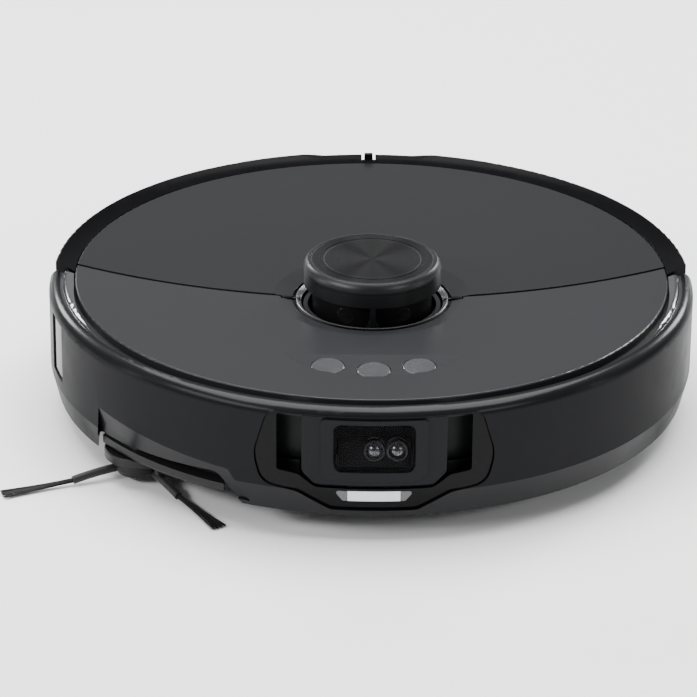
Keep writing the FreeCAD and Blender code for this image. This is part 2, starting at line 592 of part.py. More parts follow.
def coil(start, direction, radius, wire, length, turns):
    """Coil spring drawn as closely spaced rings joined by a thin spine, so that it stays one solid."""
    pieces = []
    for i in range(turns):
        at = start + direction * (wire + i * (length - 2 * wire) / (turns - 1))
        pieces.append(Part.makeTorus(radius, wire, at, direction))
    across = V(1, 0, 0) if abs(direction.z) > 0.5 else V(0, 0, 1)
    side = direction.cross(across).normalize() * radius
    spine = Part.makeCylinder(wire * 0.7, length - 2 * wire, start + direction * wire + side, direction)
    return spine.fuse(pieces)


# ---- camera --------------------------------------------------------------------------------------------
BEZEL = [(-20.7, 66.6), (20.7, 66.6), (20.7, 40.1), (-20.7, 40.1)]


def camera_housing():
    """Fixed block in the visor: back plate, convex front and a raised bezel round the window."""
    front = turned([(159, 30), (170.5, 30), ((172.6, 31.2), (173.2, 33.5)), (173.2, 71), (R_DECK + 0.3, 71),
                    (R_DECK + 0.3, Z_DECK - 1), (159, Z_DECK - 1)], -20, 20)
    outline = prism_xz([(-36.8, 69.8), (36.8, 69.8), (36.8, 38.5), (29.5, 31.4), (-29.5, 31.4), (-36.8, 38.5)],
                       [1, 1, 5, 5, 5, 5], -190, -120)
    block_front = front.common(outline)
    back = sector(R_BASE - WALL - 3, R_BASE - WALL, -18.6, 18.6, 24, 66)
    frame = prism_xz([(-27, 69.0), (27, 69.0), (27, 38.5), (22.5, 34.5), (-22.5, 34.5), (-27, 38.5)],
                     [2, 2, 3, 3, 3, 3], -190, -165)
    raised = frame.common(turned([(169, 30), (173.2, 30), (174.7, 38.5), (174.7, 69), (169, 70)], -20, 20))
    solid = block_front.fuse([back, raised])
    bore = prism_xz(shrunk(BEZEL, 1.6, (0, 53.3)), 4.0, -190, -159.5)
    step = prism_xz(BEZEL, 4.5, -190, -172.4)
    save("camera_housing", solid.cut([bore, step]))


def camera_parts():
    """Cover glass, the sloped lens carrier and its two lenses."""
    glass = prism_xz(shrunk(BEZEL, 0.1, (0, 53.3)), 4.4, -173.9, -172.4)
    save("camera_glass", glass)
    carrier = prism_xz([(-17.5, 63), (17.5, 63), (17.5, 42.6), (-17.5, 42.6)], 3.0, -163.5, -159.5)
    barrels = [Part.makeCylinder(5.0, 6.0, V(x, -169.0, 50.5), V(0, 1, 0)) for x in (0.5, 12.0)]
    lenses = [Part.makeSphere(4.2, V(x, -167.2, 50.5)).common(block(-30, 30, -172, -167.8, 40, 60))
              for x in (0.5, 12.0)]
    save("camera_lenses", carrier.fuse(barrels).fuse(lenses))


# ---- buttons -------------------------------------------------------------------------------------------
def ramp(rise, x0=-60.0, x1=60.0):
    """Everything above the sloping floor of the button recess, raised by a given amount."""
    y0, y1 = RAMP_Y
    outline = [(y0 + 20, Z_TOP + 20 * RAMP_SLOPE + rise), (y1 - 20, RAMP_LOW - 20 * RAMP_SLOPE + rise), (y1 - 20, 90),
               (y0 + 20, 90)]
    return prism_yz(outline, 0.01, x0, x1)


def buttons():
    for node, (x, y) in BUTTONS.items():
        cap = cylinder(BUTTON_R, BUTTON_LOW, 78, x, y).cut(ramp(BUTTON_RISE))
        rims = [e for e in cap.Edges if e.BoundBox.ZMin > BUTTON_LOW + 1 and e.BoundBox.XLength > BUTTON_R]
        save(node, cap.makeChamfer(0.5, rims))
    board = prism_xy([(-36, -132), (36, -132), (36, -109), (-36, -109)], 3.0, 62.6, 64.2)
    switches = [block(x - 3, x + 3, y - 3, y + 3, 64.2, 67.3) for x, y in BUTTONS.values()]
    save("button_board", board.fuse(switches))


# ---- electronics, battery, fan -------------------------------------------------------------------------
def main_board():
    board = prism_xy([(-80, -100), (80, -100), (80, -56), (-80, -56)], 4.0, 46, 47.6)
    chips = [block(x, x + w, y, y + d, 47.6, 47.6 + h) for x, y, w, d, h in
             ((-60, -90, 18, 18, 2), (-30, -86, 14, 14, 1.6), (-6, -92, 26, 12, 3), (30, -80, 12, 16, 2),
              (50, -94, 16, 8, 6), (50, -74, 16, 8, 6), (-70, -68, 20, 7, 6), (-20, -70, 8, 8, 5), (6, -72, 10, 10, 4))]
    save("main_board", board.fuse(chips))


def battery_pack():
    x0, x1, y0, y1, z0, z1 = BATTERY
    save("battery_pack", prism_xy([(x0, y0), (x1, y0), (x1, y1), (x0, y1)], 6.0, z0, z1))


def fan():
    """Centrifugal blower: volute with an inlet from the bin, and the impeller on its motor shaft."""
    x, y = FAN
    volute = cylinder(FAN_R + 3, Z_BASE + WALL, 56, x, y)
    outlet = block(x, x + FAN_R + 3, y, y + 48, 20, 52)
    inside = [cylinder(FAN_R, 18, 54, x, y), block(x + 2, x + FAN_R + 1, y, y + 49, 22, 50),
              block(BIN_X[1], x, y - 14, y + 14, 26, 50)]
    inlet = block(BIN_X[1] + 3.2, x, y - 16, y + 16, 24, 52)
    housing = volute.fuse([outlet, inlet]).common(inside_bowl())
    housing = housing.cut(inside).cut(cylinder(3 + FIT, 50, 60, x, y))
    save("fan_housing", housing)
    hub = cylinder(9, 20, 50, x, y).fuse(cylinder(3.0, 48, 60, x, y))
    blade = block(x - 0.8, x + 0.8, y - 25, y - 8, 24, 46)
    save("fan_impeller", hub.fuse(around(blade, 9, x, y)).fuse(cylinder(25.5, 22, 24.2, x, y)))


# ---- dust bin ------------------------------------------------------------------------------------------
def dust_bin():
    """Open-topped tray with an inlet towards the brush and an outlet through the filter."""
    x0, x1 = BIN_X
    y0, y1 = BIN_Y
    z0, z1 = BIN_Z
    outer = prism_xy(bin_outline(0.0), 3.0, z0, z1)
    inner = prism_xy(bin_outline(-2.0), 2.0, z0 + 2, z1 + 1)
    inlet = block(-26, 26, y0 - 3, y0 + 3, 27, 42)
    outlet = block(x1 - 3, x1 + 3, FAN[1] - 14, FAN[1] + 14, 26, 50)
    save("dust_bin", outer.cut([inner, inlet, outlet]))
    cover = prism_xy(bin_outline(0.0), 3.0, z1, z1 + 2.6)
    grip = prism_xy([(-70, 78), (10, 78), (10, 104), (-70, 104)], 8.0, z1 + 2.0, z1 + 7.5)
    hollow = prism_xy([(-66, 82), (6, 82), (6, 100), (-66, 100)], 6.0, z1 + 1.4, z1 + 9)
    bridge = block(-34, -26, 78, 104, z1 + 2, z1 + 7.5)
    save("dust_bin_lid", cover.fuse(grip).cut(hollow).fuse(bridge))
    frame = block(x1 - 9, x1 - 2, FAN[1] - 20, FAN[1] + 20, z0 + 2, z1)
    first = FAN[1] - 17
    pleats = [block(x1 - 9.5, x1 - 6, first + i * 3.6, first + 1.6 + i * 3.6, z0 + 5, z1 - 3)
              for i in range(10)]
    save("dust_filter", frame.cut(pleats))


# ---- main brush ----------------------------------------------------------------------------------------
def main_brush():
    x0, x1 = BRUSH_X
    core = rod_x(8.0, x0 + 3, x1 - 3, BRUSH_Y, BRUSH_Z).fuse(rod_x(3.0, x0 - 1.0, x1 + 4.5, BRUSH_Y, BRUSH_Z))
    save("brush_core", core)
    sleeve = rod_x(10.0, x0 + 4, x1 - 4, BRUSH_Y, BRUSH_Z).cut(rod_x(8.0, x0, x1, BRUSH_Y, BRUSH_Z))
    fins = []
    for i in range(6):
        fin = block(x0 + 4, x1 - 4, BRUSH_Y - 1.1, BRUSH_Y + 1.1, BRUSH_Z + 9.2, BRUSH_Z + BRUSH_R)
        fin.rotate(V(0, BRUSH_Y, BRUSH_Z), V(1, 0, 0), i * 60)
        fins.append(fin)
    save("brush_fins", sleeve.fuse(fins))
    gearbox = block(x1 + 2, 80, *CAVITY_Y, 12, 48).cut(rod_x(3 + FIT, x1, x1 + 5, BRUSH_Y, BRUSH_Z))
    bearing = block(x0 - 2, x0 + 1.0, BRUSH_Y - 8, BRUSH_Y + 8, 14, 33)
    bearing = bearing.cut(rod_x(3 + FIT, x0 - 3, x0 + 3, BRUSH_Y, BRUSH_Z))
    motor = rod_x(7.0, 20, 66, 24, 58.5)
    link = block(66, 79.8, 17, 31, 50, 66)
    save("brush_gearbox", gearbox, bearing, motor.fuse(link))


def brush_cover():
    """Screwed-on frame round the brush mouth, with two finger latches."""
    frame = prism_xy([(-83, -8), (83, -8), (83, 56), (-83, 56)], 4.0, 7.4, Z_BASE)
    window = prism_xy([(-77, 2), (65, 2), (65, 46), (-77, 46)], 2.0, 0, 20)
    latches = [prism_xy([(x - 9, -5.5), (x + 9, -5.5), (x + 9, -0.5), (x - 9, -0.5)], 1.5, 6.2, 8)
               for x in (-48, 48)]
    ribs = [block(x - 0.8, x + 0.8, 48, 54, 6.0, 8) for x in range(-70, 71, 10)]
    save("brush_cover", frame.fuse(latches + ribs).cut(window))


# ---- side brush ----------------------------------------------------------------------------------------
ARM_BEARINGS = (-70.0, 35.0, 162.0)   # the soft arms splay a little where they drag on the floor
ARM_SLEEVE = 37.0
ARM_LENGTH = 75.0


def side_brush():
    x, y = SIDE_BRUSH
    motor = cylinder(12, 27, 50, x + 10, y + 8).fuse(cylinder(9, 27, 36, x, y)).common(inside_bowl())
    save("side_brush_motor", motor.cut(cylinder(4 + FIT, 20, 32, x, y)))
    hub = turned([(0, 2.6), (7, 2.6), (12.5, 4.2), (14.5, 7.4), (15.2, 11.0), (18.8, 13.0), (18.8, 16.6),
                  ((18.6, 17.3), (18.0, 17.6)), (4.0, 17.6), (4.0, 31), (0, 31)], x=x, y=y)
    save("side_brush_hub", hub)
    sleeves, tufts = [], []
    for bearing in ARM_BEARINGS:
        tip, root, end = (polar(d, bearing, z, x, y) for d, z in
                          ((ARM_LENGTH, 1.3), (12.0, 7.0), (ARM_SLEEVE, 3.2)))
        bend = polar(24.0, bearing, 5.7, x, y)
        path = Part.Wire([Part.Arc(root, bend, end).toShape()])
        sleeves.append(swept(path, 2.2))
        along = (end - bend).normalize()
        middle = polar(52.0, bearing, 1.9, x, y)
        tufts.append(Part.makeCone(1.3, 1.5, (middle - end).Length, end + along * 0.6, middle - end))
        tufts[-1] = tufts[-1].fuse(Part.makeCone(1.2, 1.25, (tip - middle).Length, middle, tip - middle))
    save("side_brush_arms", *[s.cut(hub) for s in sleeves])
    save("side_brush_bristles", *[t.cut(Part.makeCompound(sleeves)) for t in tufts])


def swept(path, radius):
    """Round rod along a path."""
    edge = path.Edges[0]
    start = edge.FirstParameter
    profile = Part.Wire([Part.makeCircle(radius, edge.valueAt(start), edge.tangentAt(start))])
    return path.makePipeShell([profile], True, False)


# ---- drive wheels --------------------------------------------------------------------------------------
def drive_unit(side, name):
    """Suspension arm with its pivot, the wheel hub and the tyre, on one side."""
    def across(x0, x1):
        return sorted((side * x0, side * x1))
    py, pz = PIVOT
    a0, a1 = across(*ARM_X)
    arm = prism_yz([(-44, 30), (-44, 46), (4, 52), (20, 42), (20, 22), (-4, 14)], 6.0, a0, a1)
    p0, p1 = across(WELL_X[0] - 1.5, WELL_X[1] + 1.5)
    pivot = rod_x(R_PIVOT, p0, p1, py, pz)
    s0, s1 = across(ARM_X[1] - 1, WHEEL_X[1] - 6)
    shaft = rod_x(4.0, s0, s1, 0, WHEEL_R)
    m0, m1 = across(ARM_X[0] - 2.5, ARM_X[0] + 2)
    motor = rod_x(9.0, m0, m1, -8, 34)
    save(f"drive_arm_{name}", arm.fuse([pivot, shaft, motor]))
    h0, h1 = across(WHEEL_X[0] - 1.5, WHEEL_X[1] - 2)
    hub = rod_x(25.0, h0, h1, 0, WHEEL_R)
    b0, b1 = across(WHEEL_X[0] - 3, WHEEL_X[1] - 5.9)
    d0, d1 = across(WHEEL_X[1] - 7, WHEEL_X[1] + 1)
    pockets = []
    for i in range(6):
        pocket = rod_x(5.2, d0, d1, 15.5, WHEEL_R)
        pocket.rotate(V(0, 0, WHEEL_R), V(1, 0, 0), i * 60)
        pockets.append(pocket)
    save(f"wheel_hub_{name}", hub.cut([rod_x(4.06, b0, b1, 0, WHEEL_R)] + pockets))
    t0, t1 = across(*WHEEL_X)
    tyre = rod_x(WHEEL_R, t0, t1, 0, WHEEL_R).cut(rod_x(25.0, t0 - 5, t1 + 5, 0, WHEEL_R))
    tyre = tyre.makeFillet(1.6, [e for e in tyre.Edges if abs(e.BoundBox.ZLength - 2 * WHEEL_R) < 0.5
                                 and e.BoundBox.XLength < 0.1])
    grooves = []
    for i in range(30):
        groove = block(t0 - 1, t1 + 1, -1.5, 1.5, 2 * WHEEL_R - 2.2, 2 * WHEEL_R + 3)
        groove = groove.cut(block(t0 + 10.5, t1 - 10.5, -3, 3, 0, BIG))
        groove.rotate(V(0, 0, WHEEL_R), V(1, 0, 0), i * 12 + 6)
        grooves.append(groove)
    save(f"tyre_{name}", tyre.cut(grooves))


def drive_springs():
    """Springs that press the two arms towards the floor."""
    made = [coil(V(x, -30, 48.4), V(0, 0, 1), 3.4, 0.6, Z_DECK - 48.4, 8) for x in (-96, 96)]
    save("drive_springs", *made)


# ---- caster --------------------------------------------------------------------------------------------
def caster():
    y = CASTER_Y
    yaw = cylinder(22.5, 11.5, 32.5, 0, y).fuse(cylinder(4.0, 32, 41, 0, y))
    axle_y, axle_z = y + CASTER_TRAIL, CASTER_R
    slot = block(-8.6, 8.6, axle_y - 15, axle_y + 15, 5, 30)
    cheeks = [rod_x(4.0, x0, x0 + 3.4, axle_y, axle_z + 0.0) for x0 in (-12.2, 8.8)]
    fork = yaw.fuse(cheeks).cut(slot).cut(rod_x(1.55, -13, 13, axle_y, axle_z))
    save("caster_fork", fork)
    wheel = rod_x(CASTER_R, -8.0, 8.0, axle_y, axle_z).cut(rod_x(1.56, -9, 9, axle_y, axle_z))
    wheel = wheel.makeFillet(1.5, [e for e in wheel.Edges if e.BoundBox.ZLength > 20 and e.BoundBox.XLength < 0.1])
    save("caster_wheel", wheel.cut(rod_x(CASTER_R + 1, -0.8, 0.8, axle_y, axle_z).cut(
        rod_x(CASTER_R - 1.0, -2, 2, axle_y, axle_z))))
    save("caster_axle", rod_x(1.5, -12.0, 12.0, axle_y, axle_z))


def small_parts():
    save("charging_contacts", *contact_solids())
    save("cliff_windows", *cliff_window_solids())
    screws = []
    for bearing, radius in ((-84, 144.6), (84, 144.6), (150, 140), (-150, 140), (180, 144), (-35, 108), (35, 108)):
        at = polar(radius, bearing, Z_BASE - 1.0)
        screws.append(cylinder(3.2, Z_BASE - 1.0, Z_BASE, at.x, at.y).cut(
            block(at.x - 2.4, at.x + 2.4, at.y - 0.4, at.y + 0.4, Z_BASE - 1.1, Z_BASE - 0.5).fuse(
                block(at.x - 0.4, at.x + 0.4, at.y - 2.4, at.y + 2.4, Z_BASE - 1.1, Z_BASE - 0.5))))
    save("chassis_screws", *screws)


def main():
    os.makedirs("parts", exist_ok=True)
    chassis_base()
    mid_frame()
    rear_shell()
    exhaust_grilles()
    dock_sensor_window()
    front_panel()
    trim_crescents()
    lidar_tub()
    lidar_rotor()
    lidar_eyes()
    turret_cap()
    cap_disc()
    lidar_drive()
    lid_plate()
    lid_frame()
    hinge_pins()
    lid_locator()
    bumper_shell()
    visor_frame()
    light_bar()
    wall_sensor_window()
    bumper_springs()
    camera_housing()
    camera_parts()
    buttons()
    main_board()
    battery_pack()
    fan()
    dust_bin()
    main_brush()
    brush_cover()
    side_brush()
    drive_unit(-1, "left")
    drive_unit(1, "right")
    drive_springs()
    caster()
    small_parts()


main()
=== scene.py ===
"""Looks of the robot vacuum cleaner: materials, fine pieces, studio and camera, around the CAD frame.

Metres, in the object's frame: floor at z = 0, +Z up, the bumper and its camera face -Y.
"""
import json
import math
import random

import bpy
from mathutils import Matrix, Vector


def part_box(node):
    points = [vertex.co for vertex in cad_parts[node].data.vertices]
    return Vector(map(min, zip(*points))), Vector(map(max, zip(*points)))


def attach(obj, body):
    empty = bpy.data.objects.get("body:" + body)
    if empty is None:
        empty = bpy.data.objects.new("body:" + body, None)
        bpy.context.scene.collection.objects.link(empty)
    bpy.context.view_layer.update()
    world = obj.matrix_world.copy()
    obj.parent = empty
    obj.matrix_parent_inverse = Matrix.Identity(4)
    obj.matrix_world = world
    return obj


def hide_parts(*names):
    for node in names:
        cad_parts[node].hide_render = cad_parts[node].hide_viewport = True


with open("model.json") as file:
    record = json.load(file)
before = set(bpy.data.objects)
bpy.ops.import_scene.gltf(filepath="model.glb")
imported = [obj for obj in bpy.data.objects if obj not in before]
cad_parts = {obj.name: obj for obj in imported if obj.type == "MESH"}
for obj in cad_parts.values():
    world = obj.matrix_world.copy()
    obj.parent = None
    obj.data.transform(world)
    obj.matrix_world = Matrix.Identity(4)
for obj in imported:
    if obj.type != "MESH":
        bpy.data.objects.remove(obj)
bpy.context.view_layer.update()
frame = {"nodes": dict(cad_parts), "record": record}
MM = 0.001

# ---- camera ----------------------------------------------------------------------------------------------
VIEW_AZIMUTH = -0.86              # degrees, as are elevation and roll
VIEW_ELEVATION = 24.32
VIEW_ROLL = 0.67
VIEW_DISTANCE = 1.988
VIEW_TARGET = Vector((0, 0, 0.0405))
VIEW_LENS, SENSOR_WIDTH = 187.3, 36
VIEW_SHIFT = (-0.0319, -0.0266)


def make_camera():
    az, el, roll = (math.radians(a) for a in (VIEW_AZIMUTH, VIEW_ELEVATION, VIEW_ROLL))
    back = Vector((math.sin(az) * math.cos(el), -math.cos(az) * math.cos(el), math.sin(el)))
    right = Vector((math.cos(az), math.sin(az), 0))
    up = back.cross(right)
    turned_right = right * math.cos(roll) + up * math.sin(roll)
    turned_up = up * math.cos(roll) - right * math.sin(roll)
    data = bpy.data.cameras.new("camera")
    data.lens, data.sensor_width = VIEW_LENS, SENSOR_WIDTH
    data.shift_x, data.shift_y = VIEW_SHIFT
    data.clip_start, data.clip_end = 0.05, 50
    camera = bpy.data.objects.new("camera", data)
    axes = Matrix((turned_right, turned_up, back)).transposed()
    camera.matrix_world = Matrix.Translation(VIEW_TARGET + back * VIEW_DISTANCE) @ axes.to_4x4()
    bpy.context.scene.collection.objects.link(camera)
    bpy.context.scene.camera = camera


# ---- materials -------------------------------------------------------------------------------------------
class Nodes:
    """A new material and the methods that build its node tree. A value may be a number or a socket."""

    def __init__(self, name):
        self.material = bpy.data.materials.new(name)
        self.material.use_nodes = True
        self.tree = self.material.node_tree
        self.shader = self.tree.nodes["Principled BSDF"]
        self.coords = self.add("ShaderNodeTexCoord").outputs["Object"]

    def add(self, kind, inputs=None, **settings):
        node = self.tree.nodes.new(kind)
        for key, value in settings.items():
            setattr(node, key, value)
        for key, value in (inputs or {}).items():
            if isinstance(value, bpy.types.NodeSocket):
                self.tree.links.new(value, node.inputs[key])
            else:
                node.inputs[key].default_value = value
        return node

    def math(self, operation, a, b=0.0, clamp=False):
        return self.add("ShaderNodeMath", {0: a, 1: b}, operation=operation, use_clamp=clamp).outputs[0]

    def noise(self, scale, detail=2.0, roughness=0.5, vector=None):
        inputs = {"Vector": vector or self.coords, "Scale": scale, "Detail": detail, "Roughness": roughness}
        return self.add("ShaderNodeTexNoise", inputs).outputs["Fac"]

    def noise_along(self, value, scale, detail):
        """Noise in one dimension."""
        inputs = {"W": self.math("MULTIPLY", value, scale), "Scale": 1.0, "Detail": detail}
        return self.add("ShaderNodeTexNoise", inputs, noise_dimensions="1D").outputs["Fac"]

    def remap(self, value, start, end, low=0.0, high=1.0):
        """low at start, high at end, straight between them and level beyond."""
        inputs = {"Value": value, "From Min": start, "From Max": end, "To Min": low, "To Max": high}
        return self.add("ShaderNodeMapRange", inputs).outputs["Result"]

    def spread(self, value, low, high):
        """Maps the middle of a noise to a range."""
        return self.remap(value, 0.3, 0.7, low, high)

    def colour_mix(self, factor, a, b):
        node = self.add("ShaderNodeMix", data_type="RGBA")
        for socket, value in ((node.inputs[0], factor), (node.inputs[6], a), (node.inputs[7], b)):
            if isinstance(value, bpy.types.NodeSocket):
                self.tree.links.new(value, socket)
            else:
                socket.default_value = value
        return node.outputs[2]

    def rounded(self, radius):
        """Normal that reads sharp edges as slightly rounded."""
        return self.add("ShaderNodeBevel", {"Radius": radius}, samples=4).outputs["Normal"]

    def bump(self, height, distance, strength=1.0, normal=None):
        inputs = {"Height": height, "Distance": distance, "Strength": strength}
        if normal is not None:
            inputs["Normal"] = normal
        return self.add("ShaderNodeBump", inputs).outputs["Normal"]

    def set(self, **values):
        names = {"colour": "Base Color", "roughness": "Roughness", "normal": "Normal"}
        for key, value in values.items():
            socket = self.shader.inputs[names.get(key, key)]
            if isinstance(value, bpy.types.NodeSocket):
                self.tree.links.new(value, socket)
            else:
                socket.default_value = value

    def separate(self, vector=None):
        """X, Y and Z of a vector, or of the point in the object's own coordinates."""
        return self.add("ShaderNodeSeparateXYZ", {0: vector or self.coords}).outputs

    def radius(self, x, y):
        """Distance from a vertical axis."""
        at = self.separate()
        dx, dy = self.math("SUBTRACT", at[0], x), self.math("SUBTRACT", at[1], y)
        squares = self.math("ADD", self.math("MULTIPLY", dx, dx), self.math("MULTIPLY", dy, dy))
        return self.math("SQRT", squares)

    def band(self, value, low, high, soft):
        """1 between low and high, fading to 0 over soft on both sides."""
        rise = self.remap(value, low - soft, low)
        fall = self.remap(value, high, high + soft, 1.0, 0.0)
        return self.math("MULTIPLY", rise, fall)

    def band_mm(self, value, low, high):
        """Crisp band between two sizes in millimetres."""
        return self.band(value, low * MM, high * MM, LINE_SOFTNESS * MM)


def rgba(colour):
    return (*colour, 1.0)


def shaded(colour, factor):
    return rgba([c * factor for c in colour])


def moulded(name, colour, roughness, grain=5200, depth=0.000012, variation=0.05, tint=0.12, specular=0.5,
            coat=0.0, edge=0.00035):
    """Moulded or painted plastic: eroded fine grain, slow tone drift, handling marks in the roughness and
    slightly rounded edges."""
    n = Nodes(name)
    slow = n.noise(14, 3)
    fine = n.noise(grain, 3, 0.6)
    smear = n.noise(60, 4, 0.65)
    mottle = n.noise(900, 2)
    tone = n.math("ADD", n.spread(slow, -tint, tint), n.spread(mottle, -tint * 0.35, tint * 0.35))
    factor = n.math("ADD", tone, 0.5, clamp=True)
    n.set(colour=n.colour_mix(factor, shaded(colour, 0.72), shaded(colour, 1.3)))
    handling = n.spread(smear, roughness - variation, roughness + variation)
    n.set(roughness=n.math("ADD", handling, n.spread(fine, -0.02, 0.02)))
    n.set(normal=n.bump(fine, depth, normal=n.rounded(edge)))
    n.set(**{"Specular IOR Level": specular, "Coat Weight": coat, "Coat Roughness": 0.1})
    return n


def gloss(name, colour, roughness, specular=0.5):
    """Polished plastic: a very slight ripple, dust specks and fine wipe marks."""
    n = Nodes(name)
    ripple = n.noise(45, 2)
    specks = n.noise(2600, 1)
    dust = n.remap(specks, 0.68, 0.78)
    dusty = shaded([c + 0.04 for c in colour], 1.6)
    n.set(colour=n.colour_mix(n.math("MULTIPLY", dust, 0.4), rgba(colour), dusty))
    wipe = n.add("ShaderNodeMapping", {"Vector": n.coords, "Scale": (30, 30, 700)}).outputs["Vector"]
    marks = n.noise(4, 3, 0.6, vector=wipe)
    wiped = n.spread(marks, roughness * 0.8, roughness * 1.35)
    n.set(roughness=n.math("ADD", wiped, n.math("MULTIPLY", dust, 0.25)))
    n.set(normal=n.bump(ripple, 0.00003, 0.5, n.rounded(0.0004)))
    n.set(**{"Specular IOR Level": specular})
    return n


def metal(name, colour, roughness=0.28, grain=(400, 400, 9000)):
    """Drawn or plated metal with fine directional scratches."""
    n = Nodes(name)
    lines = n.add("ShaderNodeMapping", {"Vector": n.coords, "Scale": grain}).outputs["Vector"]
    scratches = n.noise(1, 4, 0.7, vector=lines)
    tarnish = n.noise(120, 3)
    n.set(colour=n.colour_mix(n.spread(tarnish, 0, 1), shaded(colour, 0.8), rgba(colour)), Metallic=1.0)
    n.set(roughness=n.spread(scratches, roughness * 0.7, roughness * 1.4))
    n.set(normal=n.bump(scratches, 0.000006))
    return n


def rubber(name, colour, roughness=0.62, grain=3000):
    """Matt rubber with a coarse grain and a faint bloom."""
    n = moulded(name, colour, roughness, grain, depth=0.00003, variation=0.08, tint=0.16, specular=0.35,
                edge=0.0005)
    n.set(**{"Sheen Weight": 0.12, "Sheen Roughness": 0.5})
    return n


def axis_of(node):
    """X and Y of the vertical axis through the middle of a round CAD node."""
    low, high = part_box(node)
    return (low.x + high.x) / 2, (low.y + high.y) / 2


# Radii and heights on the turret (mm): the disc's two painted highlight rings, at its groove and its edge;
# the tub's machined ring, lifted as a painted reflection, and the y from which it fades into painted shade
# towards the front; and where the bumper's polished lip starts.
DISC_GROOVE_HIGHLIGHT = (25.7, 26.1)
DISC_EDGE_HIGHLIGHT = (32.3, 33.5)
TUB_RIM = (37.9, 41.0)
TUB_RIM_HEIGHTS = (71.4, 80.0)
TUB_RIM_PAINTED_SHADE_Y = -42.0
LIP_HEIGHT = 72.2
BOARD_FACE_HEIGHT = 48.2
LINE_SOFTNESS = 0.1


def spun_disc(name, colour):
    """Turned metal: concentric lines about the turret's axis, with the sector-shaped glints they give, and
    two painted highlight rings, at the groove and along the edge.
    """
    n = Nodes(name)
    r = n.radius(*axis_of("cap_disc"))
    rings = n.noise_along(r, 9000, 3.0)
    coarse = n.noise_along(r, 1200, 2.0)
    turned_lines = n.colour_mix(n.spread(coarse, 0.2, 0.8), shaded(colour, 0.8), shaded(colour, 1.15))
    # Painted highlight: thin rings at the groove and along the edge, in the disc's colour tripled.
    inner, outer = (n.band_mm(r, *line) for line in (DISC_GROOVE_HIGHLIGHT, DISC_EDGE_HIGHLIGHT))
    painted_highlight = n.math("MAXIMUM", inner, outer)
    n.set(colour=n.colour_mix(painted_highlight, turned_lines, shaded(colour, 3.0)), Metallic=1.0)
    n.set(roughness=n.spread(rings, 0.26, 0.36), Anisotropic=0.85)
    n.set(Tangent=n.add("ShaderNodeTangent", direction_type="RADIAL", axis="Z").outputs[0])
    n.set(normal=n.bump(rings, 0.000002))
    return n


def bumper_material():
    """Satin black moulding, polished along its lip, at the front and on the bevels that face the floor."""
    n = moulded("bumper_plastic", (0.0062, 0.0064, 0.0072), 0.34, specular=0.025, tint=0.06)
    facing = n.separate(n.add("ShaderNodeNewGeometry").outputs["Normal"])
    lip = n.math("MULTIPLY", n.band(n.separate()[2], LIP_HEIGHT * MM, 1.0, 0.4 * MM), 0.28)
    ahead = n.math("MULTIPLY", n.band(facing[1], -1.0, -0.62, 0.15), 0.45)
    under = n.math("MULTIPLY", n.band(facing[2], -1.0, -0.25, 0.12), ahead)
    front = n.math("MULTIPLY", n.band(facing[1], -1.0, -0.85, 0.4), 0.1)
    polish = n.math("MAXIMUM", n.math("MAXIMUM", lip, under), front)
    n.set(**{"Coat Weight": polish, "Coat Roughness": 0.2})
    return n


def clear_window(name, colour, tint):
    """Smoked clear cover; tint is how much it hides."""
    n = gloss(name, colour, 0.06, specular=0.06)
    n.set(Alpha=tint)
    return n


def tub_material():
    """Black tub whose machined ring in the opening is lifted in colour as a painted reflection, partly its
    own light colour, and fades into painted shade towards the front.
    """
    n = moulded("tub", (0.005, 0.005, 0.006), 0.3, specular=0.15)
    r = n.radius(*axis_of("turret_cap"))
    _, y, z = n.separate()
    ring_painted_light = n.math("MULTIPLY", n.band_mm(r, *TUB_RIM), n.band_mm(z, *TUB_RIM_HEIGHTS))
    # Painted shade: the lifted ring fades out towards the front.
    ring_painted_light = n.math("MULTIPLY", ring_painted_light, n.band(y, TUB_RIM_PAINTED_SHADE_Y * MM, 1.0, 25 * MM))
    base = n.shader.inputs["Base Color"].links[0].from_socket
    rough = n.shader.inputs["Roughness"].links[0].from_socket
    # Painted reflection: the ring's band is lifted to light grey, partly its own light colour.
    n.set(colour=n.colour_mix(ring_painted_light, base, rgba((0.11, 0.11, 0.115))))
    n.set(roughness=n.math("SUBTRACT", rough, n.math("MULTIPLY", ring_painted_light, 0.02)))
    return n


def fibre(name, colour):
    """Stiff synthetic bristle, streaked along the tuft."""
    n = Nodes(name)
    streak = n.noise(1500, 3)
    n.set(colour=n.colour_mix(n.spread(streak, 0, 1), shaded(colour, 0.6), shaded(colour, 1.5)))
    n.set(roughness=n.spread(n.noise(700, 2), 0.38, 0.52))
    n.set(normal=n.bump(streak, 0.00001))
    n.set(**{"Specular IOR Level": 0.2})
    return n


def filter_paper(name, colour):
    """Pressed fibre sheet."""
    n = Nodes(name)
    fibres = n.noise(6000, 4, 0.7)
    n.set(colour=n.colour_mix(n.spread(fibres, 0, 1), shaded(colour, 0.85), shaded(colour, 1.05)))
    n.set(roughness=n.spread(n.noise(300), 0.8, 0.95), normal=n.bump(fibres, 0.00005))
    n.set(**{"Sheen Weight": 0.4})
    return n


def circuit(name):
    """Green solder mask with the faint relief of copper tracks."""
    n = Nodes(name)
    layout = {"Vector": n.coords, "Scale": 260.0, "Mortar Size": 0.04}
    cells = n.add("ShaderNodeTexBrick", layout).outputs["Fac"]
    components = n.math("GREATER_THAN", n.separate()[2], BOARD_FACE_HEIGHT * MM)
    green = n.colour_mix(cells, rgba((0.012, 0.075, 0.035)), rgba((0.02, 0.13, 0.06)))
    n.set(colour=n.colour_mix(components, green, rgba((0.02, 0.02, 0.022))))
    n.set(roughness=n.spread(n.noise(400), 0.3, 0.45), normal=n.bump(cells, 0.00003))
    return n


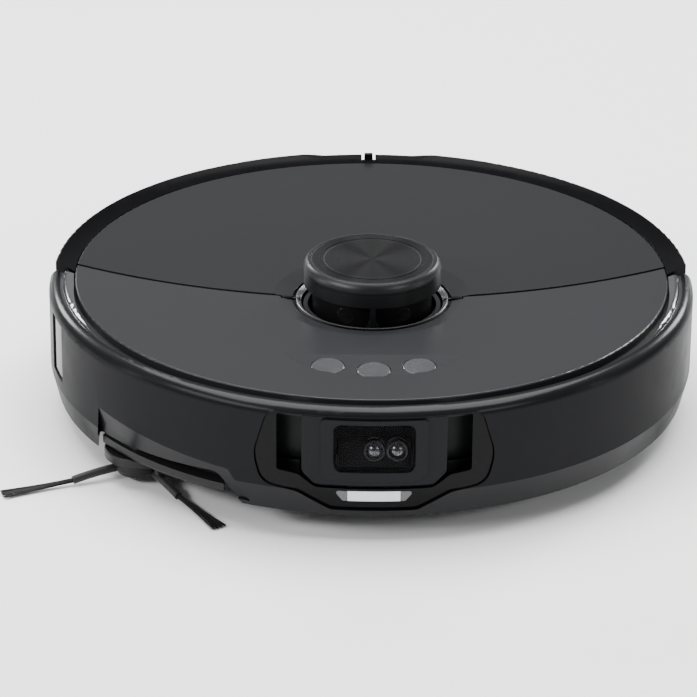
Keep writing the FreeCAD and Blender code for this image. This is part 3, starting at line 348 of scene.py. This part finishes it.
def make_materials():
    """One material for each slot in the record."""
    made = {
        "chassis_plastic": moulded("chassis_plastic", (0.009, 0.009, 0.01), 0.5, depth=0.00003,
                                   specular=0.25),
        "frame_plastic": moulded("frame_plastic", (0.008, 0.008, 0.009), 0.48, depth=0.00003, specular=0.2),
        "shell_plastic": moulded("shell_plastic", (0.007, 0.0072, 0.008), 0.34, specular=0.03),
        "panel_grey": moulded("panel_grey", (0.0155, 0.016, 0.0176), 0.32, variation=0.015, tint=0.03,
                              specular=0.2),
        "lid_grey": moulded("lid_grey", (0.0088, 0.0091, 0.0101), 0.32, variation=0.015, tint=0.03,
                            specular=0.2),
        "rim_black": moulded("rim_black", (0.003, 0.003, 0.0034), 0.24, specular=0.03),
        "trim_silver": moulded("trim_silver", (0.03, 0.031, 0.033), 0.16, specular=0.6, coat=0.3),
        "turret_plastic": moulded("turret_plastic", (0.004, 0.0042, 0.005), 0.38, variation=0.03,
                                  specular=0.38),
        "tub_plastic": tub_material(),
        "rotor_plastic": moulded("rotor_plastic", (0.004, 0.004, 0.0045), 0.4, specular=0.15),
        "disc_metal": spun_disc("disc_metal", (0.019, 0.019, 0.0205)),
        "lens_glass": gloss("lens_glass", (0.012, 0.012, 0.013), 0.12, specular=0.9),
        "bumper_plastic": bumper_material(),
        "visor_gloss": gloss("visor_gloss", (0.002, 0.002, 0.0024), 0.14, specular=0.1),
        "window_dark": gloss("window_dark", (0.003, 0.0026, 0.003), 0.1, specular=0.12),
        "camera_plastic": moulded("camera_plastic", (0.0065, 0.0072, 0.0078), 0.34, specular=0.1),
        "camera_glass": clear_window("camera_glass", (0.001, 0.001, 0.0013), 0.4),
        "lamp_white": moulded("lamp_white", (0.72, 0.73, 0.75), 0.3, grain=2500, specular=0.4),
        "lamp_ends": gloss("lamp_ends", (0.09, 0.09, 0.1), 0.16),
        "button_grey": moulded("button_grey", (0.037, 0.0375, 0.0405), 0.26, specular=0.5, tint=0.05),
        "steel": metal("steel", (0.5, 0.5, 0.51)),
        "contact_metal": metal("contact_metal", (0.75, 0.7, 0.58), 0.2, (9000, 400, 400)),
        "board_green": circuit("board_green"),
        "battery_wrap": moulded("battery_wrap", (0.015, 0.04, 0.09), 0.3, grain=900, depth=0.00002),
        "motor_metal": metal("motor_metal", (0.35, 0.35, 0.36), 0.35),
        "fan_plastic": moulded("fan_plastic", (0.06, 0.06, 0.065), 0.45),
        "bin_clear": moulded("bin_clear", (0.022, 0.024, 0.028), 0.18, specular=0.5),
        "filter_white": filter_paper("filter_white", (0.7, 0.7, 0.67)),
        "brush_core": moulded("brush_core", (0.18, 0.03, 0.02), 0.42),
        "brush_rubber": rubber("brush_rubber", (0.2, 0.03, 0.018), 0.5),
        "side_brush_plastic": moulded("side_brush_plastic", (0.006, 0.006, 0.0065), 0.4, specular=0.25),
        "arm_rubber": rubber("arm_rubber", (0.005, 0.005, 0.005), 0.55),
        "bristle": fibre("bristle", (0.0028, 0.0028, 0.003)),
        "tyre_rubber": rubber("tyre_rubber", (0.012, 0.012, 0.012), 0.7, grain=1800),
        "hub_plastic": moulded("hub_plastic", (0.05, 0.05, 0.052), 0.45),
        "caster_white": moulded("caster_white", (0.3, 0.3, 0.3), 0.45),
        "belt_rubber": rubber("belt_rubber", (0.01, 0.01, 0.01), 0.6),
    }
    return {slot: nodes.material for slot, nodes in made.items()}


def dress_cad_nodes():
    """Gives each CAD node the material of its slot. The hinge pins are blackened, unlike the other steel."""
    slots = {entry["node"]: entry["material_slot"] for entry in frame["record"]["subparts"]}
    blackened = metal("blackened_steel", (0.02, 0.02, 0.022), 0.35).material
    for name, node in frame["nodes"].items():
        node.data.materials.clear()
        node.data.materials.append(blackened if name == "hinge_pins" else SLOTS[slots[name]])


# ---- fine pieces -----------------------------------------------------------------------------------------
def add_piece(name, shape, slot, body, node, material=None):
    """Piece from (vertices, faces) that rides on a body and stands for a CAD node."""
    mesh = bpy.data.meshes.new(name)
    mesh.from_pydata([tuple(v) for v in shape[0]], [], shape[1])
    mesh.polygons.foreach_set("use_smooth", [True] * len(mesh.polygons))
    mesh.set_sharp_from_angle(angle=math.radians(35))
    mesh.materials.append(material or SLOTS[slot])
    piece = bpy.data.objects.new(name, mesh)
    bpy.context.scene.collection.objects.link(piece)
    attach(piece, body)
    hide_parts(node)
    return piece


def joined(shapes):
    """One (vertices, faces) pair from several."""
    vertices, faces = [], []
    for more_vertices, more_faces in shapes:
        first = len(vertices)
        vertices.extend(more_vertices)
        faces.extend([[i + first for i in face] for face in more_faces])
    return vertices, faces


def turned(profile, place, segments=48):
    """Surface of revolution of (r, h) points about local Z, moved by a matrix. A zero r makes a pole."""
    vertices, rows = [], []
    for r, h in profile:
        count = 1 if r < 1e-7 else segments
        rows.append(range(len(vertices), len(vertices) + count))
        turns = (math.tau * i / segments for i in range(count))
        vertices.extend(place @ Vector((r * math.cos(a), r * math.sin(a), h)) for a in turns)
    faces = []
    for low, high in zip(rows, rows[1:]):
        for i in range(segments):
            j = (i + 1) % segments
            corners = (low[i % len(low)], low[j % len(low)], high[j % len(high)], high[i % len(high)])
            faces.append(list(dict.fromkeys(corners)))
    return vertices, faces


def lofted(rings):
    """Closed skin through rings of equal length, with both ends capped."""
    count = len(rings[0])
    vertices = [v for ring in rings for v in ring]
    faces = [list(range(count))[::-1], list(range(len(vertices) - count, len(vertices)))]
    for k in range(len(rings) - 1):
        for i in range(count):
            j = (i + 1) % count
            faces.append([k * count + i, k * count + j, (k + 1) * count + j, (k + 1) * count + i])
    return vertices, faces


def strand(points, radii, sides=5):
    """Thin tapering tube along a path."""
    rings = []
    for k, (point, radius) in enumerate(zip(points, radii)):
        along = (points[min(k + 1, len(points) - 1)] - points[max(k - 1, 0)]).normalized()
        across = along.cross(Vector((0, 0, 1))).normalized()
        up = across.cross(along)
        angles = [math.tau * i / sides for i in range(sides)]
        rings.append([point + (across * math.cos(a) + up * math.sin(a)) * radius for a in angles])
    return lofted(rings)


# Behind the camera window (mm): where the lenses stand and how far they look up, the shelf's section in Y
# and Z, and the (r, h) outlines of a barrel and its dome along the line of sight.
LENS_X = (0.0, 11.6)
LENS_Y, LENS_Z = -166.2, 49.6
LENS_TILT = 12                    # degrees
SHELF_HALF_WIDTH = 18.2
SHELF_SECTION = ((-171.3, 42.2), (-164.2, 52.4), (-160.0, 52.6), (-160.0, 41.9), (-171.0, 41.9))
BARREL_OUTLINE = ((0, -3.0), (5.7, -3.0), (5.7, 4.6), (5.3, 5.1), (4.5, 5.1), (3.9, 3.9), (3.9, 3.0),
                  (0, 3.0))
DOME_OUTLINE = ((0, 2.6), (3.75, 2.6), (3.75, 3.2), (3.3, 3.85), (2.7, 4.35), (2.0, 4.75), (1.3, 5.0),
                (0.6, 5.13), (0, 5.15))


def make_camera_inside():
    """Sloping shelf behind the camera window, with two stepped lens barrels and their domes."""
    sides = [[Vector((x, y, z)) * MM for y, z in SHELF_SECTION]
             for x in (-SHELF_HALF_WIDTH, SHELF_HALF_WIDTH)]
    # Painted light: the shelf is coloured a lighter grey than the camera plastic, standing in for light
    # falling on it behind the window.
    shelf_painted_light = moulded("camera_shelf", (0.022, 0.0225, 0.0245), 0.42, specular=0.3).material
    add_piece("camera_shelf", lofted(sides), "camera_plastic", "chassis", "camera_lenses", shelf_painted_light)
    barrel_finish = moulded("camera_barrel", (0.16, 0.162, 0.17), 0.24, specular=0.5, grain=9000)
    barrel_finish.set(Metallic=0.7)
    coated = gloss("coated_lens", (0.55, 0.56, 0.6), 0.17)
    coated.set(Metallic=0.85)
    aim = Matrix.Rotation(math.radians(90 - LENS_TILT), 4, "X")
    places = [Matrix.Translation(Vector((x, LENS_Y, LENS_Z)) * MM) @ aim for x in LENS_X]
    for name, outline, slot, finish in (("camera_barrels", BARREL_OUTLINE, "camera_plastic", barrel_finish),
                                        ("camera_domes", DOME_OUTLINE, "lens_glass", coated)):
        profile = [(r * MM, h * MM) for r, h in outline]
        shape = joined([turned(profile, place) for place in places])
        add_piece(name, shape, slot, "chassis", "camera_lenses", finish.material)


# Side brush (mm, and degrees from straight ahead for the bearings): from its rubber arm to its cut ends, a
# tuft widens, thins and sinks towards the floor.
ARM_BEARINGS = (-70.0, 35.0, 162.0)
TUFT_START, TUFT_END = 36.0, 75.5
TUFT_TRIM = 2.0                   # how unevenly the ends are cut
TUFT_HALF_WIDTH, TUFT_FLARE = 1.25, 3.3
TUFT_HALF_HEIGHT, TUFT_THINNING = 1.25, 0.35
TUFT_LEVEL, TUFT_SINK = 3.25, 1.85
STRANDS = 95
STRAND_RADIUS, STRAND_TIP_RADIUS = 0.15, 0.11
STRAND_STEPS = 5


def make_bristles():
    """Three tufts of fibres that flare towards their cut ends."""
    rng = random.Random(7)
    centre = Vector((*axis_of("side_brush_hub"), 0)) / MM
    radii = [STRAND_RADIUS * MM] * STRAND_STEPS + [STRAND_TIP_RADIUS * MM]
    strands = []
    for bearing in ARM_BEARINGS:
        a = math.radians(bearing)
        out, aside = Vector((math.sin(a), -math.cos(a), 0)), Vector((math.cos(a), math.sin(a), 0))
        for _ in range(STRANDS):
            turn, reach = rng.uniform(0, math.tau), math.sqrt(rng.random())
            u, v = reach * math.cos(turn), reach * math.sin(turn)
            wander, end = rng.uniform(-0.25, 0.25), TUFT_END - rng.random() ** 2 * TUFT_TRIM
            points = []
            for k in range(STRAND_STEPS + 1):
                t = k / STRAND_STEPS
                width = TUFT_HALF_WIDTH + TUFT_FLARE * t ** 1.7
                height = TUFT_HALF_HEIGHT - TUFT_THINNING * t
                level = TUFT_LEVEL - TUFT_SINK * t ** 0.8
                side = u * width + wander * math.sin(t * math.pi)
                points.append((centre + out * (TUFT_START + (end - TUFT_START) * t) + aside * side
                               + Vector((0, 0, level + v * height))) * MM)
            strands.append(strand(points, radii))
    add_piece("side_brush_fibres", joined(strands), "bristle", "side_brush", "side_brush_bristles")


# Main roller (mm and degrees): the sleeve grips the core, and a fin starts inside the sleeve.
FIN_COUNT = 6
FIN_SWEEP = 55                    # how far a fin turns from the middle to an end
FIN_SOFTENING = 0.004             # rounds the point of the V
FIN_STEPS = 24                    # sections on each side of the middle
FIN_ROOT, FIN_WAIST, FIN_CHAMFER = (9.3, 1.5), (15, 0.9), (0.5, 0.75)
FIN_TIP_HALF_WIDTH = 0.3
SLEEVE_RADII = (8.02, 10)


def make_roller_fins():
    """Rubber sleeve with fins that run in a shallow V, so that dirt is swept to the middle."""
    low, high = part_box("brush_fins")
    middle, half, radius = (low + high) / 2, (high.x - low.x) / 2, (high.z - low.z) / 2
    flank = [(FIN_ROOT[0] * MM, FIN_ROOT[1] * MM), (FIN_WAIST[0] * MM, FIN_WAIST[1] * MM),
             (radius - FIN_CHAMFER[0] * MM, FIN_CHAMFER[1] * MM), (radius, FIN_TIP_HALF_WIDTH * MM)]
    outline = [(r, -w) for r, w in flank] + flank[::-1]
    shapes = []
    for fin in range(FIN_COUNT):
        rings = []
        for k in range(2 * FIN_STEPS + 1):
            t = k / FIN_STEPS - 1
            angle = math.radians(fin * 360 / FIN_COUNT + FIN_SWEEP * math.sqrt(t * t + FIN_SOFTENING))
            radial = Vector((0, math.sin(angle), math.cos(angle)))
            side = Vector((0, math.cos(angle), -math.sin(angle)))
            at = Vector((middle.x + t * half, middle.y, middle.z))
            rings.append([at + radial * r + side * w for r, w in outline])
        shapes.append(lofted(rings))
    place = Matrix.Translation(middle) @ Matrix.Rotation(math.radians(90), 4, "Y")
    bore, outside = (r * MM for r in SLEEVE_RADII)
    sleeve = [(bore, -half), (outside, -half), (outside, half), (bore, half), (bore, -half)]
    shapes.append(turned(sleeve, place, 64))
    add_piece("roller_fins", joined(shapes), "brush_rubber", "roller", "brush_fins")


# ---- studio ----------------------------------------------------------------------------------------------
# Name, place, aim, width and height (m) and power (W) of each area light.
LIGHTS = (
    ("overhead", (0.0, 0.35, 1.8), (0, 0.1, 0), (2.2, 1.8), 120),
    ("back_softbox", (-0.2, 2.5, 0.95), (0, 0, 0.07), (1.4, 0.6), 1.2),
    ("back_left", (-1.45, 1.75, 0.95), (0, 0, 0.09), (0.5, 0.6), 30),
    ("back_right", (1.45, 1.75, 0.95), (0, 0, 0.09), (0.5, 0.6), 30),
    ("front_left", (-1.5, -1.05, 1.15), (0, 0, 0.05), (1.3, 0.4), 30),
    ("front_right", (1.3, -1.4, 1.0), (0, 0, 0.05), (0.7, 0.35), 9),
    ("left_strip", (-1.7, -0.1, 0.4), (0, 0, 0.04), (0.12, 0.7), 5),
    ("right_strip", (1.7, -0.3, 0.4), (0, 0, 0.04), (0.2, 0.7), 3),
)
FLOOR_SIZE = 30


def area_light(name, location, target, size, power):
    data = bpy.data.lights.new(name, "AREA")
    data.shape = "RECTANGLE"
    data.size, data.size_y = size
    data.energy = power
    light = bpy.data.objects.new(name, data)
    light.location = location
    light.rotation_mode = "QUATERNION"
    light.rotation_quaternion = (Vector(location) - Vector(target)).to_track_quat("Z", "Y")
    bpy.context.scene.collection.objects.link(light)


def make_studio():
    """Plain pale floor, even world light and the area lights."""
    bpy.ops.mesh.primitive_plane_add(size=FLOOR_SIZE, location=(0, 0, 0))
    floor = bpy.context.object
    floor.name = "studio_floor"
    n = Nodes("studio_floor")
    n.set(colour=n.colour_mix(n.noise(3), rgba((0.86, 0.86, 0.865)), rgba((0.88, 0.88, 0.88))))
    n.set(roughness=0.9, **{"Specular IOR Level": 0.1})
    floor.data.materials.append(n.material)
    world = bpy.data.worlds.new("studio")
    bpy.context.scene.world = world
    world.use_nodes = True
    sky = world.node_tree.nodes["Background"].inputs
    sky["Color"].default_value, sky["Strength"].default_value = (0.95, 0.97, 1.0, 1), 0.2
    for light in LIGHTS:
        area_light(*light)


make_camera()
SLOTS = make_materials()
dress_cad_nodes()
make_camera_inside()
make_bristles()
make_roller_fins()
make_studio()
